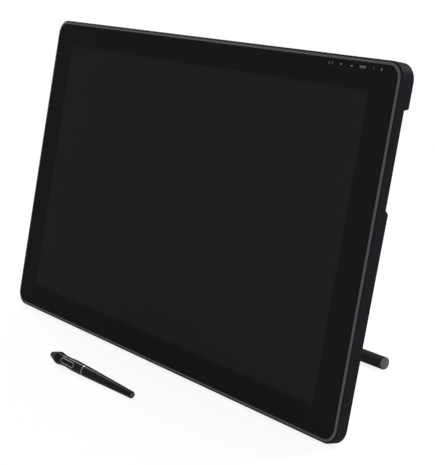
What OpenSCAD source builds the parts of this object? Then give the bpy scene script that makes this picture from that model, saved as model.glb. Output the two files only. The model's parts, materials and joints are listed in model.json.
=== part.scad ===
// Pen display leaning on a folding rear stand, with its stylus lying on the desk in front.
// Millimetres, +Z up. The origin is the middle of the lower rest edge, on the desk.
// +X runs to the right along the screen and +Y runs away from the person who draws.

/* [Screen body] */
// Overall width of the body
body_w = 553.8; // [500:0.1:640]
// Overall height of the body, measured along the screen
body_h = 331.7; // [320:0.1:400]
// Corner radius seen from the front
corner_r = 15.5; // [12:0.1:20]
// Angle between the screen and the desk
desk_angle = 78; // [72:1:80]
// Wall of the housing tray at its sides
side_wall = 1.6; // [0.9:0.1:2]
// Floor of the housing tray
floor_t = 1.7; // [1.4:0.1:3]
// Depth at which the tray's side wall starts to round over to the front
lip_d = 2.6; // [1.8:0.1:4]
// Rounding of the covers' rear edges
edge_r = 0.6; // [0.4:0.1:1.5]

/* [Rear covers] */
// How far the upper cover stands out behind the tray
upper_rise = 5.5; // [5:0.1:9]
// Height of the upper cover's rear face
upper_h = 37.8; // [32:0.1:60]
// Run of the slope under the upper cover
upper_slope = 1.8; // [1:0.1:8]
// Wall of the upper cover
cover_wall = 1.6; // [1.2:0.1:2]
// How far the lower cover stands out behind the tray at its top
lower_rise = 3.8; // [3:0.1:6]
// How far the lower cover stands out behind the tray at the bottom edge
foot_rise = 2.1; // [1.7:0.1:3]
// Height of the lower cover's rear face
lower_h = 204; // [204:0.5:225]
// Run of the slope above the lower cover
lower_slope = 3.2; // [2:0.1:10]
// Width of the cable bay in the upper cover
bay_w = 76; // [60:1:110]
// Height of the cable bay above the start of the upper cover's rear face
bay_h = 6.1; // [4:0.1:8]
// Distance of the cable bay's middle from the middle of the body
bay_x = 100; // [90:1:110]

/* [Panel stack] */
// Width of the black border at the left and right of the picture window
side_border = 35.75; // [30:0.05:50]
// Height of the black border above and below the picture window
top_border = 28.15; // [26:0.05:40]
// How far the glass sits below the trim ring's inner edge
glass_recess = 0.15; // [0:0.05:0.4]
// Thickness of the cover glass
glass_t = 1.6; // [1:0.1:2.4]
// Thickness of the printed border and of the bonding film inside it
film_t = 0.2; // [0.1:0.05:0.4]
// Thickness of the tape that holds the glass
tape_t = 0.25; // [0.1:0.05:0.5]
// Thickness of the display panel
lcd_t = 1.2; // [0.9:0.1:1.6]
// Thickness of the diffuser sheets
sheet_t = 0.7; // [0.4:0.1:1]
// Thickness of the light guide
guide_t = 2.4; // [1.6:0.1:3]
// Thickness of the backlight pan's sheet metal
pan_t = 0.5; // [0.4:0.1:0.8]
// Thickness of the pen sensor board
sensor_t = 0.8; // [0.5:0.1:1.2]
// Thickness of the shield behind the pen sensor
shield_t = 0.5; // [0.3:0.1:0.8]
// Space between the shield and the tray floor
stack_gap = 0.25; // [0.1:0.05:0.5]
// How far the display panel reaches past the window on each side
lcd_margin = 2.8; // [2:0.1:4]

/* [Trim ring] */
// Width of the bright slope around the glass
ring_w = 2.2; // [1.8:0.1:3.5]
// Drop of the bright slope from the glass to the outer edge
ring_drop = 0.7; // [0.5:0.1:1.6]
// Gap between the trim ring and the tray wall
trim_gap = 0.1; // [0.05:0.01:0.2]
// Gap between the glass and the trim ring
glass_gap = 0.15; // [0.1:0.01:0.3]
// Width of the ledge under the glass
ledge_w = 2.4; // [1.5:0.1:3]
// Thickness of the ledge under the glass
ledge_t = 1.2; // [0.8:0.1:2]
// Thickness of the trim ring's skirt
skirt_t = 2; // [1.2:0.1:3]

/* [Electronics] */
// Width of the main board
board_w = 300; // [280:1:320]
// Thickness of the main board
board_t = 1; // [0.8:0.1:1.2]
// Height of the main board above the tray
board_lift = 0.6; // [0.4:0.1:1]
// Thickness of the pen controller board
pen_board_t = 0.8; // [0.6:0.1:1]
// Width of a round-ended socket
usb_w = 8.94; // [8.5:0.01:9.4]
// Height of a round-ended socket
usb_h = 3.26; // [3:0.01:3.6]
// Width of the picture socket
video_w = 11.2; // [10:0.1:12]
// Length of a socket
port_l = 7.4; // [6:0.1:9]
// Wall of a socket
port_wall = 0.3; // [0.2:0.05:0.4]
// Length of the touch key board
key_board_w = 78; // [76:0.5:90]
// Distance of the touch keys' middle from the right edge of the body
key_in = 55.9; // [54:0.1:80]
// Height of the touch key board
key_board_h = 5.6; // [4:0.1:8]
// Thickness of the touch key board
key_board_t = 0.8; // [0.5:0.1:1]
// Thickness of the ribbon cables
ribbon_t = 0.2; // [0.15:0.05:0.3]

/* [Mounting] */
// Height of the mounting pattern's middle above the bottom edge
mount_y = 148; // [145:0.5:149]
// Side of the square mounting pattern
mount_pitch = 100; // [95:1:100]
// Radius of the mounting holes
mount_r = 2; // [1.6:0.05:2.5]
// Outer radius of the mounting bosses
boss_r = 4.5; // [3.6:0.1:5]
// Thickness of the mounting plate
mount_t = 0.9; // [0.6:0.1:1]
// How far the mounting bosses stand out behind the lower cover
boss_proud = 0.2; // [0.1:0.05:0.6]
// Width of the stand's screw pattern
stand_pitch_x = 50; // [46:0.5:54]
// Height of the stand's screw pattern
stand_pitch_y = 75; // [70:0.5:78]

/* [Stand] */
// Distance of the hinge below the middle of the mounting pattern
hinge_drop = 66; // [60:0.5:68]
// Distance of the hinge behind the bracket's rear face
hinge_back = 9.5; // [9.5:0.1:14]
// Width of the bracket
bracket_w = 72; // [68:0.5:78]
// Thickness of the bracket's plate
bracket_t = 2.5; // [2:0.1:3.5]
// Thickness of the bracket's ears
ear_t = 5; // [4:0.1:6]
// Outer radius of the ears
ear_r = 9; // [8:0.1:9.4]
// Radius of the hinge pin
pin_r = 4; // [3:0.1:4.5]
// Wall of the hinge bushes
bush_wall = 1.5; // [1:0.1:2]
// Length of the leg from the hinge to the foot bar
leg_l = 155; // [145:0.5:165]
// Thickness of the leg's arms
arm_t = 5; // [4:0.1:6]
// Radius of the arms' rounded ends
arm_r = 6.8; // [6.6:0.1:7]
// Distance of the brace from the hinge
brace_at = 118; // [114:0.5:125]
// Radius of the brace
brace_r = 4; // [3:0.1:4.5]
// Side clearance between the arms and the bracket
side_gap = 0.3; // [0.2:0.05:0.6]
// Radius of the foot bar's tube
bar_r = 5; // [4:0.1:5.2]
// Wall of the foot bar's tube
bar_wall = 1.4; // [1:0.1:2]
// Thickness of the rubber sleeves
sleeve_t = 1.5; // [1.2:0.1:2]
// Half the length of the foot bar
bar_half = 153; // [120:0.5:170]
// Thickness of the bar's end caps
cap_t = 1.5; // [1:0.1:3]
// Width of the sleeves' rim around the end caps
cap_rim = 0.5; // [0.4:0.1:0.8]
// Depth of the folded foot bar behind the screen
fold_d = 20; // [19.5:0.1:22]
// Radial clearance of fixed pins and rods in their holes
fit_gap = 0.03; // [0.02:0.01:0.06]
// Radial clearance of turning pins in their holes
run_gap = 0.05; // [0.03:0.01:0.09]

/* [Release lever] */
// Radius of the brake drum
drum_r = 7.5; // [6.5:0.1:8]
// Width of the brake drum
drum_w = 26; // [20:0.5:30]
// Gap between the brake pad and the drum
pad_gap = 0.3; // [0.2:0.05:0.5]
// Thickness of the brake pad
pad_t = 2; // [1.5:0.1:3]
// Width of the lever
lever_w = 24; // [20:0.5:30]
// Thickness of the lever
lever_t = 3; // [2:0.1:4]
// Distance of the lever's pivot above the hinge
pivot_up = 30; // [28:0.5:34]
// Length of the lever above the hinge
lever_up = 96; // [80:0.5:100]
// Radius of the lever's pin
lever_pin_r = 2.5; // [2:0.1:3]
// Radius of the lever spring's wire
spring_wire_r = 0.5; // [0.4:0.05:0.6]
// Radius of the lever spring's coil
spring_r = 4; // [3:0.1:5]
// Turns of the lever spring
spring_turns = 5; // [3:1:6]

/* [Feet] */
// Length of each rubber foot strip
foot_l = 100; // [60:1:120]
// Distance of the outer strips' middles from the side edges
foot_in = 86.9; // [70:0.1:120]
// Depth at which the strips start
foot_d0 = 7.2; // [6:0.1:7.5]
// Width of the strips from front to rear
foot_w = 2.8; // [2.4:0.1:3]
// Thickness of the strips at their rear edge
foot_drop = 0.6; // [0.5:0.05:1]
// Radius of the round rubber pads on the back
pad_r = 7; // [5:0.1:9]
// Thickness of the round rubber pads on the back
back_pad_t = 1.2; // [0.8:0.1:2]
// Distance of the round rubber pads from the side edges
back_pad_in = 76.9; // [50:0.1:95]
// Height of the lower rubber pads above the bottom edge
back_pad_y = 60; // [40:1:150]

/* [Screws] */
// Radius of the cover screws' thread
screw_r = 1.3; // [1:0.05:1.5]
// Radius of the cover screws' head
screw_head_r = 2.5; // [2.2:0.1:3]
// Height of the cover screws' head
screw_head_h = 1.1; // [0.8:0.05:1.3]
// How far the heads lie below the surface
screw_sink = 0.2; // [0.1:0.05:0.4]

/* [Stylus] */
// Length of the stylus
pen_l = 141; // [136:0.5:153]
// Length of the nib outside the nose
nib_out = 2.6; // [2:0.1:4]
// Radius of the nib
nib_r = 0.9; // [0.7:0.05:1]
// Radius of the nose at its opening
nose_r = 2.9; // [2.2:0.1:3.2]
// Distance of the flare from the tip
flare_at = 16.3; // [15:0.1:17]
// Radius of the flare
flare_r = 6.6; // [6.3:0.1:6.9]
// Distance of the neck from the tip
neck_at = 24; // [22:0.5:26]
// Radius of the neck
neck_r = 5.6; // [5.4:0.1:5.8]
// Distance of the grip's widest place from the tip
swell_at = 44; // [40:0.5:48]
// Radius of the grip at its widest place
swell_r = 6; // [5.8:0.1:6.2]
// Distance of the seam from the tip
seam_at = 62.2; // [61.5:0.1:66]
// Radius of the stylus at the seam
seam_r = 5.7; // [5.5:0.05:5.9]
// Radius of the stylus near its tail
tail_r = 3.5; // [3:0.1:3.8]
// Bore of the grip
grip_bore = 3.9; // [3.6:0.1:4]
// Bore of the barrel
barrel_bore = 3.2; // [2.9:0.1:3.3]
// Length of the rocker button
rocker_l = 21.6; // [18:0.1:22]
// Width of the rocker button
rocker_w = 3.6; // [3:0.1:4]
// Gap around the rocker button
rocker_gap = 0.25; // [0.2:0.05:0.4]
// Distance of the rocker button's middle from the tip
rocker_at = 37.2; // [34:0.1:37.5]
// Radius of the rocker button's pin
rocker_pin_r = 0.6; // [0.5:0.05:0.7]
// Width of the bright surround of the rocker button
surround_w = 0.6; // [0.4:0.05:0.8]
// Direction of the rocker button above the horizontal
pen_roll = 26; // [0:1:60]
// Position of the stylus tip along the screen
pen_x = -73.7; // [-120:0.1:-40]
// Distance of the stylus in front of the rest edge
pen_front = 80.4; // [50:0.1:120]
// Turn of the stylus away from the screen's direction
pen_yaw = 2.2; // [-20:0.1:20]

/* [Hidden] */
$fn = 64;

// Depths behind the front plane, layer by layer
d_glass = glass_recess + glass_t;
d_film = d_glass + film_t;
d_ledge = d_film + tape_t;
d_lcd = d_film + lcd_t;
d_sheet = d_lcd + sheet_t;
d_guide = d_sheet + guide_t;
d_pan = d_guide + pan_t;
d_sensor = d_pan + sensor_t;
d_shield = d_sensor + shield_t;
d_floor = d_shield + stack_gap;
d_tray = d_floor + floor_t;
d_upper = d_tray + upper_rise;
d_lower = d_tray + lower_rise;
d_foot = d_tray + foot_rise;
d_mount = d_lower + boss_proud;
d_bracket = d_mount + bracket_t;
hinge_d = d_bracket + hinge_back;

// Distances in from the outer edge
ring_out = side_wall + trim_gap;
ring_in = ring_out + ring_w;
glass_edge = ring_in + glass_gap;
ledge_in = glass_edge + ledge_w;
glass_w = body_w - 2 * glass_edge;
glass_h = body_h - 2 * glass_edge;
glass_r = corner_r - glass_edge;

// Heights along the screen
mid_y = body_h / 2;
upper_y = body_h - upper_h;
bay_y = upper_y + bay_h;
hinge_y = mount_y - hinge_drop;
lever_y = hinge_y + pivot_up;
lower_tilt = atan((lower_rise - foot_rise) / lower_h);
function lower_depth(y) = d_tray + foot_rise / cos(lower_tilt) + y * tan(lower_tilt);

// Panel layers, each a little larger than the one in front of it
window_w = body_w - 2 * side_border;
window_h = body_h - 2 * top_border;
lcd_w = window_w + 2 * lcd_margin;
lcd_h = window_h + 2 * lcd_margin;
led_t = 1;
led_gap = 0.2;
guide_w = lcd_w - 1;
guide_h = lcd_h - 3;
pan_in_w = lcd_w + 0.4;
pan_in_h = lcd_h + 0.4;
pan_w = pan_in_w + 2 * pan_t;
pan_h = pan_in_h + 2 * pan_t;
pan_top = mid_y + pan_h / 2;

// Main board in the upper cover
board_y0 = bay_y + cover_wall + 0.4;
board_y1 = body_h - cover_wall - 2;
board_d0 = d_tray + board_lift;
board_d1 = board_d0 + board_t;
port_d = d_tray + (upper_rise - cover_wall) / 2;
port_y0 = bay_y + 0.2;
port_cut = 0.15;
port_pitch = 23;
usb_x = [-bay_x - port_pitch, -bay_x];
video_x = -bay_x + port_pitch;
chip_side = [14, 18, 10, 12, 8];
chip_x = -30;
chip_pitch = 38;
chip_t = 1.2;
controller_w = 80;
controller_h = 70;
controller_in = 20;
board_screw_r = 0.9;
board_screw_in = 5;
board_screw_y = 3.5;
board_post_r = 2.4;
board_screw_at = [for (sx = [-1, 1], y = [board_y0 + board_screw_y, board_y1 - board_screw_y])
    [sx * (board_w / 2 - board_screw_in), y]];
ribbon_slot = 1;
panel_ribbon_w = 40;
panel_ribbon_x = 20;
sensor_ribbon_w = 30;
sensor_ribbon_x = 90;
ribbon_y = pan_top + 1.2;
key_ribbon_w = 4;
key_gap = 0.4;
key_x = body_w / 2 - key_in;
key_y = body_h - ledge_in - key_gap - key_board_h / 2;
key_ribbon_in = 12;
key_ribbon_x = board_w / 2 - key_ribbon_in;

// Screw places
frame_in = (ring_out + ledge_in) / 2 + 1.6;
frame_screw_r = 1.1;
frame_boss_r = 2.4;
frame_head_r = 2;
frame_head_h = 1;
frame_side_in = 70;
frame_end_in = 76;
frame_mid_x = 66;
frame_screw_at = concat(
    [for (sx = [-1, 1], y = [frame_side_in, mid_y, body_h - frame_side_in])
        [sx * (body_w / 2 - frame_in), y]],
    [for (sx = [-1, 1], y = [frame_in, body_h - frame_in], x = [frame_mid_x, body_w / 2 - frame_end_in])
        [sx * x, y]]);
screw_side_in = 20;
board_screw_out = 14;
lower_screw_x = 130;
lower_screw_low = 18;
lower_screw_top = 12;
upper_screw_at = [for (sx = [-1, 1], x = [board_w / 2 + board_screw_out, body_w / 2 - screw_side_in])
    [sx * x, body_h - upper_h / 2]];
lower_screw_at = [for (sx = [-1, 1], x = [lower_screw_x, body_w / 2 - screw_side_in],
    y = [lower_screw_low, lower_h - lower_screw_top]) [sx * x, y]];
head_room = screw_head_h + screw_sink;
screw_hole_r = screw_r + fit_gap;
screw_l = 2.6;

// Mounting bosses: the outer square is free, the inner four hold the stand
boss_d0 = d_floor + 0.1;
free_mounts = [for (sx = [-1, 1], sy = [-1, 1]) [sx, sy] * mount_pitch / 2 + [0, mount_y]];
stand_mounts = [for (sx = [-1, 1], sy = [-1, 1]) [sx * stand_pitch_x / 2, mount_y + sy * stand_pitch_y / 2]];
boss_gap = 0.2;
plate_edge = boss_r + 4;
room_gap = 0.2;
lower_room = max(mount_t, pen_board_t) + room_gap;
room_y0 = mount_y - mount_pitch / 2 - plate_edge - 4;
room_y1 = mount_y + mount_pitch / 2 + boss_r + 0.6;
room_in = 40;
room_x = body_w / 2 - room_in;

// Stand across its width
ear_x1 = bracket_w / 2;
ear_x0 = ear_x1 - ear_t;
arm_x0 = ear_x1 + side_gap;
arm_x1 = arm_x0 + arm_t;
clip_t = 0.8;
bracket_y0 = hinge_y - ear_r;
bracket_y1 = mount_y + mount_pitch / 2;
bracket_corner = 6;
clip_gap = 0.2;
pin_half = arm_x1 + clip_gap + clip_t + 0.8;
bush_r = pin_r + run_gap + bush_wall;
bush_flange_t = 1.2;
sleeve_r = bar_r + fit_gap + sleeve_t;
sleeve_x0 = arm_x1 + 1;
cap_r = sleeve_r - cap_rim;
arm_foot_r = sleeve_r - 0.4;
stand_screw_r = mount_r - fit_gap;
stand_head_r = 3.8;
stand_head_h = 2.2;
stand_screw_l = 4.5;

// Lever section
pad_d0 = hinge_d + drum_r + pad_gap;
shoe_d0 = pad_d0 + pad_t;
shoe_d1 = shoe_d0 + lever_t;
pivot_d = hinge_d + 5;
pivot_r = lever_pin_r + 2.5;
lug_t = 3;
lug_gap = 0.4;
lug_r = lever_pin_r + 3.5;
lug_x0 = lever_w / 2 + lug_gap;
lug_x1 = lug_x0 + lug_t;
tab_d0 = pivot_d + 0.5;
spring_up = 30;
spring_y = lever_y + spring_up;
shoe_half = 7;
lever_corner = 5;

// Pose of the body on the desk
foot_d1 = foot_d0 + foot_w;
foot_mid_d = foot_d0 + foot_w / 2;
function rest_y(d) = -foot_drop - (foot_d1 - d) / tan(desk_angle);
pose_z = -rest_y(foot_d1) * sin(desk_angle) + foot_d1 * cos(desk_angle);
pose_y = -rest_y(foot_mid_d) * cos(desk_angle) - foot_mid_d * sin(desk_angle);
function desk_pos(y, d) = [
    y * cos(desk_angle) + d * sin(desk_angle) + pose_y,
    y * sin(desk_angle) - d * cos(desk_angle) + pose_z
];
hinge_pos = desk_pos(hinge_y, hinge_d);
leg_angle = asin((hinge_pos[1] - sleeve_r) / leg_l);
fold_angle = leg_angle + desk_angle + asin((hinge_d - fold_d) / leg_l);

// Stylus profile: distance from the tip, radius
tail_at = pen_l - 0.7;
seam_w = 0.8;
barrel_at = seam_at + seam_w;
pen_tilt = atan((seam_r - tail_r) / (tail_at - barrel_at));
coil_at = nib_out + 7;
coil_l = 7.5;
coil_r = 3.1;
ferrite_r = 1.9;
nib_shaft_r = nib_r - 0.12;
nib_l = rocker_at + rocker_l / 2 + 3;
nib_room = 1.6;
cell_l = 9;
circuit_l = 42;
circuit_t = 1;
circuit_gap = 0.2;
spigot_l = 2;
plug_r = 2.2;
rocker_x = 4.15;
rocker_low = 3.2;
rocker_rise = 0.35;
surround_up = 0.12;

// Rounded rectangle in the plane of the screen
module outline(w, h, r) {
    square([w - 2 * r, h], center = true);
    square([w, h - 2 * r], center = true);
    for (sx = [-1, 1], sy = [-1, 1])
        translate([sx * (w / 2 - r), sy * (h / 2 - r)])
            circle(r);
}

// Plate with rounded corners between two depths, centred on the screen
module plate(w, h, r, d0, d1) {
    translate([0, mid_y, -d1])
        linear_extrude(d1 - d0)
            outline(w, h, r);
}

// Square-cornered plate between two depths, centred on the screen
module sheet(w, h, d0, d1) {
    translate([-w / 2, mid_y - h / 2, -d1])
        cube([w, h, d1 - d0]);
}

// Box between two corners, with its depth measured behind the front plane
module box(x0, x1, y0, y1, d0, d1) {
    translate([x0, y0, -d1])
        cube([x1 - x0, y1 - y0, d1 - d0]);
}

// Sweeps a section along the rounded rectangle, given as inset and depth below the front
module edge_sweep(w, h, r, section) {
    points = [for (p = section) [-p[0], -p[1]]];
    for (side = [0:3]) {
        a = side % 2 == 0 ? w : h;
        b = side % 2 == 0 ? h : w;
        translate([0, mid_y, 0])
            rotate([0, 0, 90 * side]) {
                translate([a / 2, b / 2 - r, 0])
                    rotate([90, 0, 0])
                        linear_extrude(b - 2 * r)
                            polygon(points);
                translate([a / 2 - r, b / 2 - r, 0])
                    rotate_extrude(angle = 90)
                        translate([r, 0])
                            polygon(points);
            }
    }
}

// Body-sized slab with its rear edge rounded
module rear_slab(d0, d1) {
    in = corner_r - 3;
    edge_sweep(body_w, body_h, corner_r, concat(
        [[0, d0]],
        [for (a = [0:15:90]) [edge_r * (1 - cos(a)), d1 - edge_r + edge_r * sin(a)]],
        [[in, d1], [in, d0]]));
    plate(body_w - 2 * in, body_h - 2 * in, corner_r - in, d0, d1);
}

// Prism across the body from a section of height and depth
module across(x0, x1, section) {
    translate([x0, 0, 0])
        rotate([90, 0, 90])
            linear_extrude(x1 - x0)
                polygon([for (p = section) [p[0], -p[1]]]);
}

// Round rod across the body
module cross_rod(x0, x1, y, d, r) {
    translate([x0, y, -d])
        rotate([0, 90, 0])
            cylinder(r = r, h = x1 - x0);
}

// Round post square to the screen between two depths
module post(at, r, d0, d1) {
    translate([at[0], at[1], -d1])
        cylinder(r = r, h = d1 - d0);
}

// Stadium outline along the first axis
module stadium(l, w) {
    square([l - w, w], center = true);
    for (s = [-1, 1])
        translate([s * (l - w) / 2, 0])
            circle(w / 2);
}

// Stands the body on the desk
module on_desk() {
    translate([0, pose_y, pose_z])
        rotate([desk_angle, 0, 0])
            children();
}

// Swings the leg out of the hinge so that its bar rests on the desk
module leg_out() {
    translate([0, hinge_pos[0], hinge_pos[1]])
        rotate([-leg_angle, 0, 0])
            children();
}

// Lays the stylus on its tapered barrel, tip to the left, axis along its own +Z
module pen_on_desk() {
    translate([pen_x, -pen_front, seam_r * cos(pen_tilt) + barrel_at * sin(pen_tilt)])
        rotate([0, pen_tilt, pen_yaw])
            rotate([-90 - pen_roll, 0, 0])
                rotate([0, 90, 0])
                    children();
}

// Screen and its layers
module cover_glass() {
    color("#181818")
        on_desk()
            plate(glass_w, glass_h, glass_r, glass_recess, d_glass);
}

module border_mask() {
    color("#101010")
        on_desk()
            difference() {
                plate(glass_w, glass_h, glass_r, d_glass, d_film);
                sheet(window_w, window_h, d_glass - 1, d_film + 1);
            }
}

module bonding_film() {
    color("#202020")
        on_desk()
            sheet(window_w, window_h, d_glass, d_film);
}

module glass_tape() {
    color("#303030")
        on_desk()
            edge_sweep(body_w, body_h, corner_r, [
                [glass_edge, d_film], [ledge_in, d_film], [ledge_in, d_ledge], [glass_edge, d_ledge]
            ]);
}

module trim_ring() {
    color("#505052")
        on_desk()
            difference() {
                union() {
                    edge_sweep(body_w, body_h, corner_r, [
                        [ring_out, ring_drop], [ring_in, 0], [ring_in, d_ledge], [ledge_in, d_ledge],
                        [ledge_in, d_ledge + ledge_t], [ring_out + skirt_t, d_ledge + ledge_t],
                        [ring_out + skirt_t, d_floor], [ring_out, d_floor]
                    ]);
                    for (at = frame_screw_at)
                        post(at, frame_boss_r, d_ledge + ledge_t / 2, d_floor);
                }
                for (at = frame_screw_at)
                    post(at, frame_screw_r + fit_gap, d_ledge + ledge_t, d_floor + 1);
            }
}

module lcd_panel() {
    color("#1f1f1f")
        on_desk()
            sheet(lcd_w, lcd_h, d_film, d_lcd);
}

module diffuser_sheets() {
    color("#f4f4f0")
        on_desk()
            sheet(lcd_w, lcd_h, d_lcd, d_sheet);
}

module light_guide() {
    color("#e8f0f4")
        on_desk()
            translate([0, (lcd_h - guide_h) / 2, 0])
                sheet(guide_w, guide_h, d_sheet, d_guide);
}

module led_strip() {
    color("#f0e8b0")
        on_desk()
            box(-guide_w / 2, guide_w / 2, mid_y - pan_in_h / 2, mid_y - pan_in_h / 2 + led_t,
                d_sheet + led_gap, d_guide);
}

module backlight_pan() {
    color("#c8c8cc")
        on_desk()
            difference() {
                sheet(pan_w, pan_h, d_film + led_gap, d_pan);
                sheet(pan_in_w, pan_in_h, d_film - 1, d_guide);
            }
}

module pen_sensor() {
    color("#1e5a3a")
        on_desk()
            sheet(pan_w, pan_h, d_pan, d_sensor);
}

module sensor_shield() {
    color("#9a9a9c")
        on_desk()
            sheet(pan_w, pan_h, d_sensor, d_shield);
}

module touch_key_board() {
    color("#1e5a3a")
        on_desk()
            box(key_x - key_board_w / 2, key_x + key_board_w / 2, key_y - key_board_h / 2,
                key_y + key_board_h / 2, d_film, d_film + key_board_t);
}

// Flat cable that leaves a layer's top edge and turns back to the main board
module ribbon(x, w, y0, y1, d0) {
    across(x - w / 2, x + w / 2, [
        [y0, d0], [y1, d0], [y1, board_d0], [y1 - ribbon_t, board_d0],
        [y1 - ribbon_t, d0 + ribbon_t], [y0, d0 + ribbon_t]
    ]);
}

module panel_ribbon() {
    color("#c08a3a")
        on_desk()
            ribbon(panel_ribbon_x, panel_ribbon_w, mid_y + lcd_h / 2, ribbon_y, d_film);
}

module sensor_ribbon() {
    color("#c08a3a")
        on_desk()
            ribbon(sensor_ribbon_x, sensor_ribbon_w, pan_top, ribbon_y, d_pan + sensor_t / 2);
}

module key_ribbon() {
    d0 = d_film + (key_board_t - ribbon_t) / 2;
    color("#c08a3a")
        on_desk()
            translate([0, key_y - key_ribbon_w / 2, 0])
                mirror([0, 1, 0])
                    rotate([90, 0, 0])
                        linear_extrude(key_ribbon_w)
                            polygon([
                                [key_x - key_board_w / 2, -d0],
                                [key_ribbon_x, -d0],
                                [key_ribbon_x, -board_d0],
                                [key_ribbon_x + ribbon_t, -board_d0],
                                [key_ribbon_x + ribbon_t, -d0 - ribbon_t],
                                [key_x - key_board_w / 2, -d0 - ribbon_t]
                            ]);
}

// Housing tray and what is screwed to it
module rear_housing() {
    color("#202124")
        on_desk()
            difference() {
                union() {
                    edge_sweep(body_w, body_h, corner_r, concat(
                        [for (a = [0:18:90])
                            [side_wall * (1 - cos(a)), lip_d - (lip_d - ring_drop) * sin(a)]],
                        [[side_wall, d_floor], [0, d_floor]]));
                    plate(body_w, body_h, corner_r, d_floor, d_tray);
                    for (at = board_screw_at)
                        post(at, board_post_r, d_tray - 0.5, board_d0);
                }
                for (at = frame_screw_at) {
                    post(at, frame_screw_r + fit_gap, d_floor - 1, d_tray + 1);
                    post(at, frame_head_r + fit_gap, d_tray - frame_head_h, d_tray + 1);
                }
                for (at = concat(upper_screw_at, lower_screw_at))
                    post(at, screw_hole_r, d_floor - 1, d_tray + 1);
                for (at = board_screw_at)
                    post(at, board_screw_r + fit_gap, d_floor - 1, board_d0 + 1);
                for (at = concat(free_mounts, stand_mounts))
                    post(at, boss_r + boss_gap, d_floor - 1, d_tray + 1);
                box(panel_ribbon_x - panel_ribbon_w / 2 - 1, panel_ribbon_x + panel_ribbon_w / 2 + 1,
                    ribbon_y - ribbon_slot, ribbon_y + ribbon_slot, d_floor - 1, d_tray + 1);
                box(sensor_ribbon_x - sensor_ribbon_w / 2 - 1, sensor_ribbon_x + sensor_ribbon_w / 2 + 1,
                    ribbon_y - ribbon_slot, ribbon_y + ribbon_slot, d_floor - 1, d_tray + 1);
                box(key_ribbon_x - ribbon_slot, key_ribbon_x + ribbon_slot,
                    key_y - key_ribbon_w / 2 - 1, key_y + key_ribbon_w / 2 + 1, d_floor - 1, d_tray + 1);
            }
}

module main_board() {
    color("#15301f")
        on_desk()
            difference() {
                box(-board_w / 2, board_w / 2, board_y0, board_y1, board_d0, board_d1);
                for (x = usb_x)
                    box(x - usb_w / 2 - port_cut, x + usb_w / 2 + port_cut, board_y0 - 1,
                        port_y0 + port_l + port_cut, board_d0 - 1, board_d1 + 1);
                box(video_x - video_w / 2 - port_cut, video_x + video_w / 2 + port_cut, board_y0 - 1,
                    port_y0 + port_l + port_cut, board_d0 - 1, board_d1 + 1);
                for (at = board_screw_at)
                    post(at, board_screw_r + fit_gap, board_d0 - 1, board_d1 + 1);
            }
}

module board_chips() {
    board_mid = (board_y0 + board_y1) / 2;
    color("#18181a")
        on_desk()
            for (k = [0:len(chip_side) - 1]) {
                x = chip_x + k * chip_pitch;
                half = chip_side[k] / 2;
                box(x - half, x + half, board_mid - half, board_mid + half, board_d1, board_d1 + chip_t);
            }
}

module board_screws() {
    color("#b8b8ba")
        on_desk()
            for (at = board_screw_at) {
                post(at, board_screw_r, d_floor + 0.2, board_d1);
                post(at, board_screw_r * 1.9, board_d1, board_d1 + 0.8);
            }
}

// Round-ended socket with its tongue, opening downwards along the screen
module usb_port(x) {
    translate([x, port_y0, -port_d])
        rotate([-90, 0, 0]) {
            difference() {
                linear_extrude(port_l)
                    stadium(usb_w, usb_h);
                translate([0, 0, -1])
                    linear_extrude(port_l)
                        stadium(usb_w - 2 * port_wall, usb_h - 2 * port_wall);
            }
            translate([-usb_w * 0.35, -0.35, 0.8])
                cube([usb_w * 0.7, 0.7, port_l - 1]);
        }
}

module usb_ports() {
    color("#a8a8ac")
        on_desk()
            for (x = usb_x)
                usb_port(x);
}

module video_port() {
    h = usb_h;
    w = video_w / 2;
    i = port_wall;
    color("#a8a8ac")
        on_desk()
            translate([video_x, port_y0, -port_d])
                rotate([-90, 0, 0]) {
                    difference() {
                        linear_extrude(port_l)
                            polygon([[-w, h / 2], [w, h / 2], [w, -h / 6], [w - h / 3, -h / 2],
                                [-w + h / 3, -h / 2], [-w, -h / 6]]);
                        translate([0, 0, -1])
                            linear_extrude(port_l)
                                polygon([[-w + i, h / 2 - i], [w - i, h / 2 - i], [w - i, -h / 6 + i / 2],
                                    [w - h / 3 - i / 2, -h / 2 + i], [-w + h / 3 + i / 2, -h / 2 + i],
                                    [-w + i, -h / 6 + i / 2]]);
                    }
                    translate([-w * 0.7, -0.3, 0.8])
                        cube([w * 1.4, 0.6, port_l - 1]);
                }
}

module pen_controller() {
    color("#15301f")
        on_desk()
            box(-room_x + controller_in, -room_x + controller_in + controller_w, mount_y - controller_h / 2,
                mount_y + controller_h / 2, d_tray, d_tray + pen_board_t);
}

module mount_plate() {
    color("#8a8a8e")
        on_desk()
            difference() {
                union() {
                    box(-mount_pitch / 2 - plate_edge, mount_pitch / 2 + plate_edge,
                        mount_y - mount_pitch / 2 - plate_edge, mount_y + mount_pitch / 2 + boss_r,
                        d_tray, d_tray + mount_t);
                    for (at = concat(free_mounts, stand_mounts))
                        post(at, boss_r, boss_d0, d_mount);
                }
                for (at = concat(free_mounts, stand_mounts))
                    post(at, mount_r, boss_d0 + 0.6, d_mount + 1);
            }
}

module frame_screws() {
    color("#b8b8ba")
        on_desk()
            for (at = frame_screw_at) {
                post(at, frame_screw_r, d_ledge + ledge_t + 0.4, d_tray - 0.05);
                post(at, frame_head_r, d_tray - frame_head_h, d_tray - 0.05);
            }
}

// Section of the upper cover, moved inwards by a wall
module upper_section(x0, x1, wall) {
    in = wall * 1.3;
    across(x0, x1, [
        [body_h + 1, d_tray - wall], [upper_y - upper_slope + in, d_tray - wall],
        [upper_y - upper_slope + in, d_tray], [upper_y + in, d_upper - wall],
        [body_h + 1, d_upper - wall]
    ]);
}

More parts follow.
